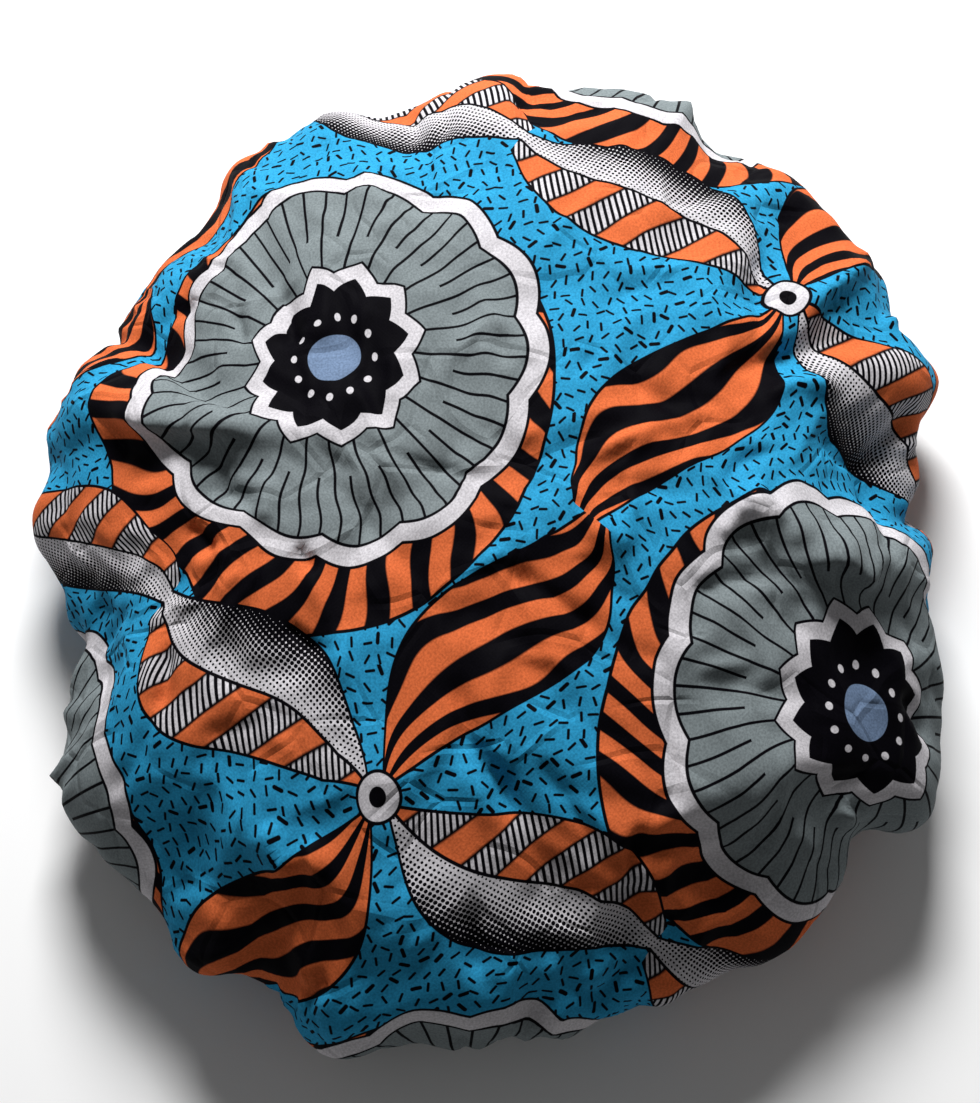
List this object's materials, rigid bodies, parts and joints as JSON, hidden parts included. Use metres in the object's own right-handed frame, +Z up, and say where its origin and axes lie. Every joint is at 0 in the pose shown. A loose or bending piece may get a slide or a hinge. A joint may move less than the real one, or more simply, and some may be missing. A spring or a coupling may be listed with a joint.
{
  "type": "hair bonnet",
  "caption": "Round printed cloth hair bonnet with a wide puffed crown gathered into a narrow elastic hem, lying crown up with its opening underneath.",
  "frame": {"origin": "on the surface the bonnet lies on, under the middle of its outline seen from above", "axes": "+Z up through the crown, away from the opening; +Y along the longer way across; -Y is the side nearest the viewer in the picture"},
  "size_m": [0.3611, 0.4038, 0.1045],
  "materials": {
    "printed_cloth": "plain-woven cotton printed in blue, orange, grey, black and white, soft and slightly creased",
    "elastic_casing": "black cotton casing ruched over a narrow elastic"
  },
  "bodies": {
    "root": {"crown": "printed_cloth", "gathered_border": "printed_cloth", "elastic_hem": "elastic_casing"}
  },
  "joints": []
}
